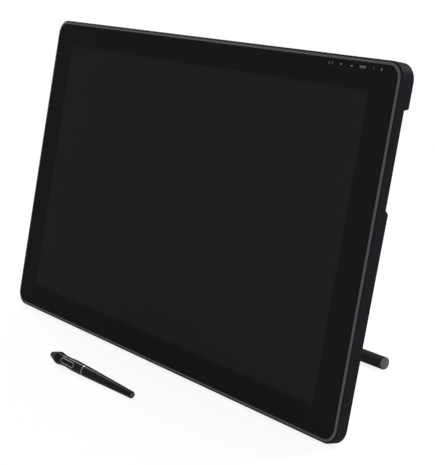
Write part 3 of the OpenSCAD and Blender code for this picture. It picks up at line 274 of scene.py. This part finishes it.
tree.links.new(window.outputs["Result"], tree.nodes["Principled BSDF"].inputs["Base Color"])
dress(etched_glass, "cover_glass")
border_print = grained("border_print", PRINT_BLACK, spread=0.1, roughness=0.7, grain=0.0005, depth=0.000005)
dress(border_print, "border_mask")

# Touch key marks: six small grey signs printed on the glass over the touch keys.
# Each is a plain sign made of strokes, rings and frames, two to seven millimetres across.
MARK_GREY = (0.17, 0.17, 0.17)
MARK_BACK = -0.00013
MARK_DEPTH = 0.00003
MARK_LINE = 0.00045
FINE_LINE = 0.0003
KEY_ROW = 0.3232
RING_SIDES = 32
MARK_STROKES = (
    (0.1863, 0, 0.0028, 78, MARK_LINE),
    (0.1903, 0, 0.0028, 78, MARK_LINE),
    (0.21535, -0.0004, 0.0032, 0, MARK_LINE),
    (0.21535, -0.0004, 0.0014, 90, MARK_LINE),
    (0.2426, 0, 0.002, 90, FINE_LINE),
    (0.2523, 0.001, 0.0012, 90, MARK_LINE),
)
MARK_RINGS = ((0.2017, 0, 0.0009), (0.2523, -0.0003, 0.0008))
MARK_FRAMES = ((0.2271, 0, 0.0029, 0.0019), (0.231, 0, 0.0029, 0.0019))


def stroke(x, rise, length, turn, width):
    place = (x, KEY_ROW + rise, MARK_BACK)
    bpy.ops.mesh.primitive_plane_add(size=1, location=place, rotation=(0, 0, radians(turn)))
    bpy.context.object.scale = (length, width, 1)
    bpy.ops.object.transform_apply()
    return bpy.context.object


def hollowed(piece):
    bpy.ops.object.transform_apply()
    bpy.ops.object.mode_set(mode="EDIT")
    bpy.ops.mesh.inset(thickness=MARK_LINE)
    bpy.ops.mesh.delete(type="FACE")
    bpy.ops.object.mode_set(mode="OBJECT")
    return piece


def ring(x, rise, radius):
    place = (x, KEY_ROW + rise, MARK_BACK)
    bpy.ops.mesh.primitive_circle_add(vertices=RING_SIDES, radius=radius, fill_type="NGON", location=place)
    return hollowed(bpy.context.object)


def hollow_frame(x, rise, width, height):
    bpy.ops.mesh.primitive_plane_add(size=1, location=(x, KEY_ROW + rise, MARK_BACK))
    bpy.context.object.scale = (width, height, 1)
    return hollowed(bpy.context.object)


def joined(pieces, name):
    bpy.ops.object.select_all(action="DESELECT")
    for piece in pieces:
        piece.select_set(True)
    bpy.context.view_layer.objects.active = pieces[0]
    bpy.ops.object.join()
    pieces[0].name = name
    return pieces[0]


def set_on_screen(piece, finish):
    piece.location = SCREEN_FOOT
    piece.rotation_euler = (SCREEN_TILT, 0, 0)
    bpy.ops.object.transform_apply()
    piece.data.materials.append(finish)


marks = [stroke(*row) for row in MARK_STROKES]
marks += [ring(*row) for row in MARK_RINGS]
marks += [hollow_frame(*row) for row in MARK_FRAMES]
touch_marks = joined(marks, "touch_key_marks")
bpy.ops.object.mode_set(mode="EDIT")
bpy.ops.mesh.select_all(action="SELECT")
bpy.ops.mesh.extrude_region_move(TRANSFORM_OT_translate={"value": (0, 0, MARK_DEPTH)})
bpy.ops.mesh.select_all(action="SELECT")
bpy.ops.mesh.normals_make_consistent(inside=False)
bpy.ops.object.mode_set(mode="OBJECT")
mark_print = grained(
    "mark_print", MARK_GREY, spread=0.08, roughness=0.6, grain=0.0004, depth=0.000003, level=0.1
)
set_on_screen(touch_marks, mark_print)
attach(touch_marks, "screen")

# Rear covers: two moulded covers of the same black plastic over the boards and the mounting plate.
# They close the back of the tray, and leave a channel between them for the folded stand.
dress(moulded_black, "upper_cover", "lower_cover")

# Cover screws: twelve small blackened screws with a domed head and a cross recess.
# Each is sunk a little below the face of its cover and turned into a post of the tray.
SCREW_HEAD = 0.0025
SCREW_HEIGHT = 0.0011
SCREW_SIDES = 32
SCREW_ROUND = 0.0004
SCREW_SINK = 0.0002
SHANK_RADIUS = 0.0013
SHANK_LENGTH = 0.0026
RECESS_SIZE = (0.0029, 0.0006, 0.0013)
SCREW_TURN = radians(31)
OUTER_X = 0.2569
UPPER_SCREWS = [(x, 0.3128, 0.0155) for x in (-OUTER_X, -0.164, 0.164, OUTER_X)]
LOWER_SCREWS = [(x, 0.018, 0.01225) for x in (-OUTER_X, -0.13, 0.13, OUTER_X)]
EDGE_SCREWS = [(x, 0.192, 0.0137) for x in (-OUTER_X, -0.13, 0.13, OUTER_X)]
FACING = 0.9
ROUND_PARTS = 3
SMOOTH_ANGLE = radians(35)
SHARP_ANGLE = radians(40)


def only(piece):
    bpy.ops.object.select_all(action="DESELECT")
    piece.select_set(True)
    bpy.context.view_layer.objects.active = piece


def rounded(piece, width):
    rounding = piece.modifiers.new("rounding", "BEVEL")
    rounding.width = width
    rounding.segments = ROUND_PARTS
    rounding.limit_method = "ANGLE"
    rounding.angle_limit = SHARP_ANGLE
    bpy.ops.object.modifier_apply(modifier=rounding.name)


def pick_end(piece, side):
    bpy.ops.object.mode_set(mode="EDIT")
    bpy.ops.mesh.select_mode(type="FACE")
    bpy.ops.mesh.select_all(action="DESELECT")
    bpy.ops.object.mode_set(mode="OBJECT")
    ends = [face for face in piece.data.polygons if side * face.normal.z > FACING]
    max(ends, key=lambda face: face.area).select = True
    bpy.ops.object.mode_set(mode="EDIT")


def cut_slot(piece, place, turn, size):
    bpy.ops.mesh.primitive_cube_add(size=1, location=place, rotation=(0, 0, turn))
    cutter = bpy.context.object
    cutter.scale = size
    bpy.ops.object.transform_apply()
    only(piece)
    recess = piece.modifiers.new("recess", "BOOLEAN")
    recess.operation = "DIFFERENCE"
    recess.object = cutter
    bpy.ops.object.modifier_apply(modifier=recess.name)
    bpy.data.objects.remove(cutter)


def copied(piece, place, turn=(0, 0, 0)):
    only(piece)
    bpy.ops.object.duplicate()
    copy = bpy.context.object
    copy.location = place
    copy.rotation_euler = turn
    bpy.ops.object.transform_apply()
    return copy


def gathered(pattern, copies, name, finish):
    bpy.data.objects.remove(pattern)
    piece = joined(copies, name)
    bpy.ops.object.shade_smooth_by_angle(angle=SMOOTH_ANGLE)
    set_on_screen(piece, finish)
    return piece


bpy.ops.mesh.primitive_cylinder_add(vertices=SCREW_SIDES, radius=SCREW_HEAD, depth=SCREW_HEIGHT)
screw = bpy.context.object
rounded(screw, SCREW_ROUND)
pick_end(screw, 1)
bpy.ops.mesh.inset(thickness=SCREW_HEAD - SHANK_RADIUS)
bpy.ops.mesh.extrude_region_move(TRANSFORM_OT_translate={"value": (0, 0, SHANK_LENGTH)})
bpy.ops.object.mode_set(mode="OBJECT")
for turn in (0, pi / 2):
    cut_slot(screw, (0, 0, -SCREW_HEIGHT / 2), turn, RECESS_SIZE)
screws = []
for count, (x, y, face) in enumerate(UPPER_SCREWS + LOWER_SCREWS + EDGE_SCREWS):
    place = (x, y, SCREW_SINK + SCREW_HEIGHT / 2 - face)
    screws.append(copied(screw, place, (0, 0, SCREW_TURN * count)))
cross_screws = gathered(screw, screws, "cross_screws", dark_steel)
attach(cross_screws, "screen")
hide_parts("cover_screws")

# Rubber strips: three soft strips set into grooves along the lower edge, where the tablet stands on them.
# They are moulded of black rubber with rounded edges and a dull skin.
STRIP_ROUND = 0.0003
RUBBER_BLACK = (0.012, 0.012, 0.012)
MERGE_GAP = 0.000002
FLAT_ANGLE = radians(0.5)
foot_rubber = grained(
    "foot_rubber", RUBBER_BLACK, spread=0.3, roughness=0.75, grain=0.0006, depth=0.00003, level=0.08
)


def softened(name, body, width, finish):
    only(nodes[name])
    bpy.ops.object.duplicate()
    piece = bpy.context.object
    piece.name = "soft_" + name
    for mark in [key for key in piece.keys() if key.startswith("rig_")]:
        del piece[mark]
    bpy.ops.object.parent_clear(type="CLEAR_KEEP_TRANSFORM")
    bpy.ops.mesh.customdata_custom_splitnormals_clear()
    bpy.ops.object.mode_set(mode="EDIT")
    bpy.ops.mesh.select_all(action="SELECT")
    bpy.ops.mesh.remove_doubles(threshold=MERGE_GAP)
    bpy.ops.mesh.dissolve_limited(angle_limit=FLAT_ANGLE)
    bpy.ops.object.mode_set(mode="OBJECT")
    rounded(piece, width)
    bpy.ops.object.mode_set(mode="EDIT")
    bpy.ops.mesh.select_all(action="SELECT")
    bpy.ops.mesh.dissolve_degenerate(threshold=MERGE_GAP)
    bpy.ops.object.mode_set(mode="OBJECT")
    bpy.ops.object.shade_smooth_by_angle(angle=SMOOTH_ANGLE)
    piece.material_slots[0].material = finish
    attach(piece, body)
    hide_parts(name)


softened("rest_feet", "screen", STRIP_ROUND, foot_rubber)

# Back pads: four round rubber pads glued to the covers, for laying the tablet flat.
# Each is a moulded disc with a rounded rim and a shallow dish in its face.
PAD_RADIUS = 0.007
PAD_THICK = 0.0012
PAD_SIDES = 48
PAD_ROUND = 0.0005
RIM_WIDTH = 0.0009
DISH_WIDTH = 0.0004
DISH_DEPTH = 0.00025
COVER_SLOPE = radians(-0.477)
PAD_X = 0.2
PAD_ROWS = ((0.3128, 0.0155, 0), (0.06, 0.0126, COVER_SLOPE))
bpy.ops.mesh.primitive_cylinder_add(vertices=PAD_SIDES, radius=PAD_RADIUS, depth=PAD_THICK)
pad = bpy.context.object
rounded(pad, PAD_ROUND)
pick_end(pad, -1)
bpy.ops.mesh.inset(thickness=RIM_WIDTH)
bpy.ops.mesh.inset(thickness=DISH_WIDTH, depth=-DISH_DEPTH)
bpy.ops.object.mode_set(mode="OBJECT")
pads = []
for x in (-PAD_X, PAD_X):
    for y, face, slope in PAD_ROWS:
        pads.append(copied(pad, (x, y, -face - PAD_THICK / 2), (slope, 0, 0)))
round_pads = gathered(pad, pads, "round_pads", foot_rubber)
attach(round_pads, "screen")
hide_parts("back_pads")

# Stand bracket: a powder coated steel plate with two ears for the hinge and two lugs for the lever.
# Four socket screws hold it to the inner bosses, and bronze bushes line the ears.
BRACKET_ROUND = 0.0006
COAT_BLACK = (0.013, 0.013, 0.0145)
BRONZE = (0.45, 0.3, 0.1)
stand_coat = grained(
    "stand_coat", COAT_BLACK, spread=0.2, roughness=0.5, grain=0.0008, depth=0.00003, level=0.2
)
softened("stand_bracket", "screen", BRACKET_ROUND, stand_coat)
dress(dark_steel, "stand_screws")
bush_bronze = grained(
    "bush_bronze", BRONZE, spread=0.2, roughness=0.4, grain=0.0005, depth=0.00001, metallic=1.0
)
dress(bush_bronze, "hinge_bushes")

# Leg: a pin with a brake drum between two flat arms, and a round brace across them.
# The arms are pressed on the pin, held by clips, and coated like the bracket.
ARM_ROUND = 0.0005
DRUM_GREY = (0.3, 0.3, 0.31)
dress(plated_steel, "hinge_pin")
dress(dark_steel, "pin_clips", "arm_screws")
drum_steel = grained(
    "drum_steel", DRUM_GREY, spread=0.15, roughness=0.3, grain=0.0005, depth=0.00001,
    metallic=1.0, stretch=(1, 0.05, 0.05),
)
dress(drum_steel, "brake_drum")
softened("leg_arms", "leg", ARM_ROUND, stand_coat)
dress(stand_coat, "leg_brace")

# Foot bar: a round tube through both arms, with a rubber sleeve on each side that grips the desk.
# A grey plastic cap closes each end inside the thin rim of the sleeve.
SLEEVE_ROUND = 0.0002
CAP_ROUND = 0.0003
SLEEVE_BLACK = (0.014, 0.014, 0.0145)
CAP_GREY = (0.051, 0.051, 0.053)
dress(stand_coat, "foot_bar")
sleeve_rubber = grained(
    "sleeve_rubber", SLEEVE_BLACK, spread=0.3, roughness=0.7, grain=0.0006, depth=0.00004, level=0.04
)
softened("bar_sleeves", "leg", SLEEVE_ROUND, sleeve_rubber)
cap_grey = grained("cap_grey", CAP_GREY, spread=0.12, roughness=0.6, grain=0.0005, depth=0.00001, level=0.2)
softened("bar_end_caps", "leg", CAP_ROUND, cap_grey)

# Release lever: a bent plate on its own pin, with a brake lining at its foot and a finger tab at its top.
# The lining is riveted on and bears on the drum, so that the stand holds its angle.
LEVER_ROUND = 0.0006
TAB_FACE = 0.0345
RIB_ROWS = (0.156, 0.1605, 0.165, 0.1695)
RIB_SIZE = (0.016, 0.0016, 0.0014)
RIB_ROUND = 0.0005
LINING_BROWN = (0.07, 0.055, 0.045)
softened("release_lever", "lever", LEVER_ROUND, stand_coat)
bpy.ops.mesh.primitive_cube_add(size=1)
rib = bpy.context.object
rib.scale = RIB_SIZE
bpy.ops.object.transform_apply()
rounded(rib, RIB_ROUND)
ribs = [copied(rib, (0, y, -TAB_FACE)) for y in RIB_ROWS]
tab_ribs = gathered(rib, ribs, "tab_ribs", stand_coat)
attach(tab_ribs, "lever")
brake_lining = grained("brake_lining", LINING_BROWN, spread=0.4, roughness=0.9, grain=0.0008, depth=0.00005)
dress(brake_lining, "brake_pad")
dress(plated_steel, "lever_pin")

# Lever spring: a coil of steel wire between the bracket and the finger tab.
# Four open turns stand between a closed turn at each end; in the real stand they shorten as the tab is
# pressed, but here the coil is a fixed shape on the screen body.
WIRE_RADIUS = 0.0005
WIRE_SIDES = 10
COIL_RADIUS = 0.004
COIL_PLACE = (0, 0.142, -0.0314)
COIL_RUNS = ((0.0005, 1, 0.001), (0.0015, 4, 0.0119), (0.0134, 1, 0.001))
TURN_STEPS = 28
WIRE_SMOOTH = radians(50)
WIRE_GAP = 0.000005


def wound(start, turns, rise):
    bpy.ops.mesh.primitive_circle_add(
        vertices=WIRE_SIDES, radius=WIRE_RADIUS, location=(COIL_RADIUS, 0, start), rotation=(pi / 2, 0, 0)
    )
    run = bpy.context.object
    bpy.ops.object.transform_apply()
    winding = run.modifiers.new("winding", "SCREW")
    winding.axis = "Z"
    winding.angle = 2 * pi * turns
    winding.screw_offset = rise
    winding.steps = TURN_STEPS * turns
    winding.render_steps = TURN_STEPS * turns
    bpy.ops.object.modifier_apply(modifier=winding.name)
    return run


wire_spring = joined([wound(*row) for row in COIL_RUNS], "wire_spring")
bpy.ops.object.mode_set(mode="EDIT")
bpy.ops.mesh.select_all(action="SELECT")
bpy.ops.mesh.remove_doubles(threshold=WIRE_GAP)
bpy.ops.mesh.select_all(action="SELECT")
bpy.ops.mesh.fill_holes(sides=WIRE_SIDES)
bpy.ops.mesh.select_all(action="SELECT")
bpy.ops.mesh.normals_make_consistent(inside=False)
bpy.ops.object.mode_set(mode="OBJECT")
bpy.ops.object.shade_smooth_by_angle(angle=WIRE_SMOOTH)
wire_spring.location = COIL_PLACE
bpy.ops.object.transform_apply()
set_on_screen(wire_spring, plated_steel)
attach(wire_spring, "screen")
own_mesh(wire_spring)
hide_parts("lever_spring")

# Stylus: a satin black grip and barrel with a bright seam, and a rocker button in a bright surround.
# The nib slides in the nose and presses on a cell inside the grip.
ROCKER_ROUND = 0.0002
PEN_BLACK = (0.0065, 0.0065, 0.007)
PEN_BRIGHT = (0.3, 0.3, 0.305)
ROCKER_BLACK = (0.005, 0.005, 0.0055)
NIB_GREY = (0.3, 0.3, 0.31)
COPPER = (0.5, 0.22, 0.09)
COPPER_DARK = (0.2, 0.08, 0.03)
COPPER_PITCH = 0.0003
pen_black = grained(
    "pen_black", PEN_BLACK, spread=0.2, roughness=0.3, grain=0.0005, depth=0.000004, level=0.03
)
dress(pen_black, "pen_grip", "pen_barrel")
pen_bright = grained(
    "pen_bright", PEN_BRIGHT, spread=0.1, roughness=0.35, grain=0.0004, depth=0.000003, metallic=1.0
)
dress(pen_bright, "pen_surround", "pen_seam_ring")
rocker_black = grained(
    "rocker_black", ROCKER_BLACK, spread=0.1, roughness=0.25, grain=0.0005, depth=0.000003, level=0.03
)
softened("pen_rocker", "rocker", ROCKER_ROUND, rocker_black)
nib_grey = grained("nib_grey", NIB_GREY, spread=0.06, roughness=0.5, grain=0.0004, depth=0.000005)
dress(nib_grey, "pen_nib")
dress(cap_grey, "pen_tail_plug")
wound_copper = grained(
    "wound_copper", COPPER, spread=0.1, roughness=0.35, grain=0.0003, depth=0.00001, metallic=1.0
)
lined(wound_copper, COPPER_DARK, COPPER_PITCH, share=0.25)
dress(wound_copper, "pen_coil")
dress(dark_steel, "pen_rocker_pin")

# Desk: a plain white table top, far larger than the view.
# It is the stage and not part of the object, and its glow rises with the distance from the tablet.
DESK_SIZE = 40
DESK_WHITE = (0.93, 0.93, 0.93)
DESK_ROUGHNESS = 0.9
GLOW_NEAR = 0.86
GLOW_FAR = 1
NEAR_REACH = 0.35
FAR_REACH = 1.4


def seen_directly(tree):
    rays = tree.nodes.new("ShaderNodeLightPath")
    seen = rays.outputs["Is Camera Ray"]
    for kind in ("Is Glossy Ray", "Is Transmission Ray"):
        either = tree.nodes.new("ShaderNodeMath")
        either.operation = "MAXIMUM"
        tree.links.new(seen, either.inputs[0])
        tree.links.new(rays.outputs[kind], either.inputs[1])
        seen = either.outputs[0]
    return seen


def blended(tree, share, first, second, target):
    blend = tree.nodes.new("ShaderNodeMixShader")
    tree.links.new(share, blend.inputs["Fac"])
    tree.links.new(first, blend.inputs[1])
    tree.links.new(second, blend.inputs[2])
    tree.links.new(blend.outputs["Shader"], tree.nodes[target].inputs["Surface"])


bpy.ops.mesh.primitive_plane_add(size=DESK_SIZE, location=(0, 0, 0))
desk = bpy.context.object
desk.name = "desk"
desk_white = bpy.data.materials.new("desk_white")
desk_white.use_nodes = True
tree = desk_white.node_tree
paper = tree.nodes["Principled BSDF"]
paper.inputs["Base Color"].default_value = (*DESK_WHITE, 1)
paper.inputs["Roughness"].default_value = DESK_ROUGHNESS
paper.inputs["Specular IOR Level"].default_value = 0
plain = tree.nodes.new("ShaderNodeEmission")
place = tree.nodes.new("ShaderNodeTexCoord")
reach = tree.nodes.new("ShaderNodeVectorMath")
reach.operation = "LENGTH"
tree.links.new(place.outputs["Object"], reach.inputs[0])
glow = tree.nodes.new("ShaderNodeMapRange")
glow.interpolation_type = "SMOOTHSTEP"
glow.inputs["From Min"].default_value = NEAR_REACH
glow.inputs["From Max"].default_value = FAR_REACH
glow.inputs["To Min"].default_value = GLOW_NEAR
glow.inputs["To Max"].default_value = GLOW_FAR
tree.links.new(reach.outputs["Value"], glow.inputs["Value"])
share = tree.nodes.new("ShaderNodeMath")
share.operation = "MULTIPLY"
tree.links.new(seen_directly(tree), share.inputs[0])
tree.links.new(glow.outputs["Result"], share.inputs[1])
blended(tree, share.outputs[0], paper.outputs["BSDF"], plain.outputs["Emission"], "Material Output")
desk.data.materials.append(desk_white)

# Light: a white room, a wide lamp on the right and two small ones behind the tablet.
# The room looks white to the camera and in reflections, and is dimmer as a source of light.
ROOM_LIGHT = 0.83
ROOM_WHITE = (1, 1, 1, 1)
LAMPS = (
    ("lamp_right", (1.7, -0.5, 0.9), (0, 0, 0.15), (1.4, 1.4), 13),
    ("lamp_behind", (-1.24, 0.31, 0.94), (0, -0.08, 0), (0.36, 0.2), 10),
    ("lamp_corner", (0.42, 1.05, 1.1), (0.27, 0.07, 0.31), (0.4, 0.3), 18),
)
room = bpy.data.worlds.new("room")
bpy.context.scene.world = room
room.use_nodes = True
tree = room.node_tree
dim = tree.nodes["Background"]
dim.inputs["Color"].default_value = ROOM_WHITE
dim.inputs["Strength"].default_value = ROOM_LIGHT
white = tree.nodes.new("ShaderNodeBackground")
white.inputs["Color"].default_value = ROOM_WHITE
blended(tree, seen_directly(tree), dim.outputs["Background"], white.outputs["Background"], "World Output")
for name, stand, aim, size, power in LAMPS:
    bpy.ops.object.light_add(type="AREA", location=stand)
    lamp = bpy.context.object
    lamp.name = name
    lamp.data.shape = "RECTANGLE"
    lamp.data.size, lamp.data.size_y = size
    lamp.data.energy = power
    lamp.rotation_euler = (Vector(aim) - Vector(stand)).to_track_quat("-Z", "Y").to_euler()

# Camera: a long lens on the right of the tablet, a little above its top edge.
# The picture is 435 by 465 points, so the long side is the height.
CAMERA_PLACE = (1.05246, -0.72256, 0.44758)
CAMERA_DROP = 13.663
CAMERA_TURN = 52.759
FOCAL_POINTS = 1319.93
PICTURE_POINTS = 465
SENSOR_WIDTH = 36
camera_turned = (radians(90 - CAMERA_DROP), 0, radians(CAMERA_TURN))
bpy.ops.object.camera_add(location=CAMERA_PLACE, rotation=camera_turned)
camera = bpy.context.object
camera.data.sensor_width = SENSOR_WIDTH
camera.data.lens = FOCAL_POINTS * SENSOR_WIDTH / PICTURE_POINTS
bpy.context.scene.camera = camera
bpy.context.scene.view_settings.view_transform = "Standard"
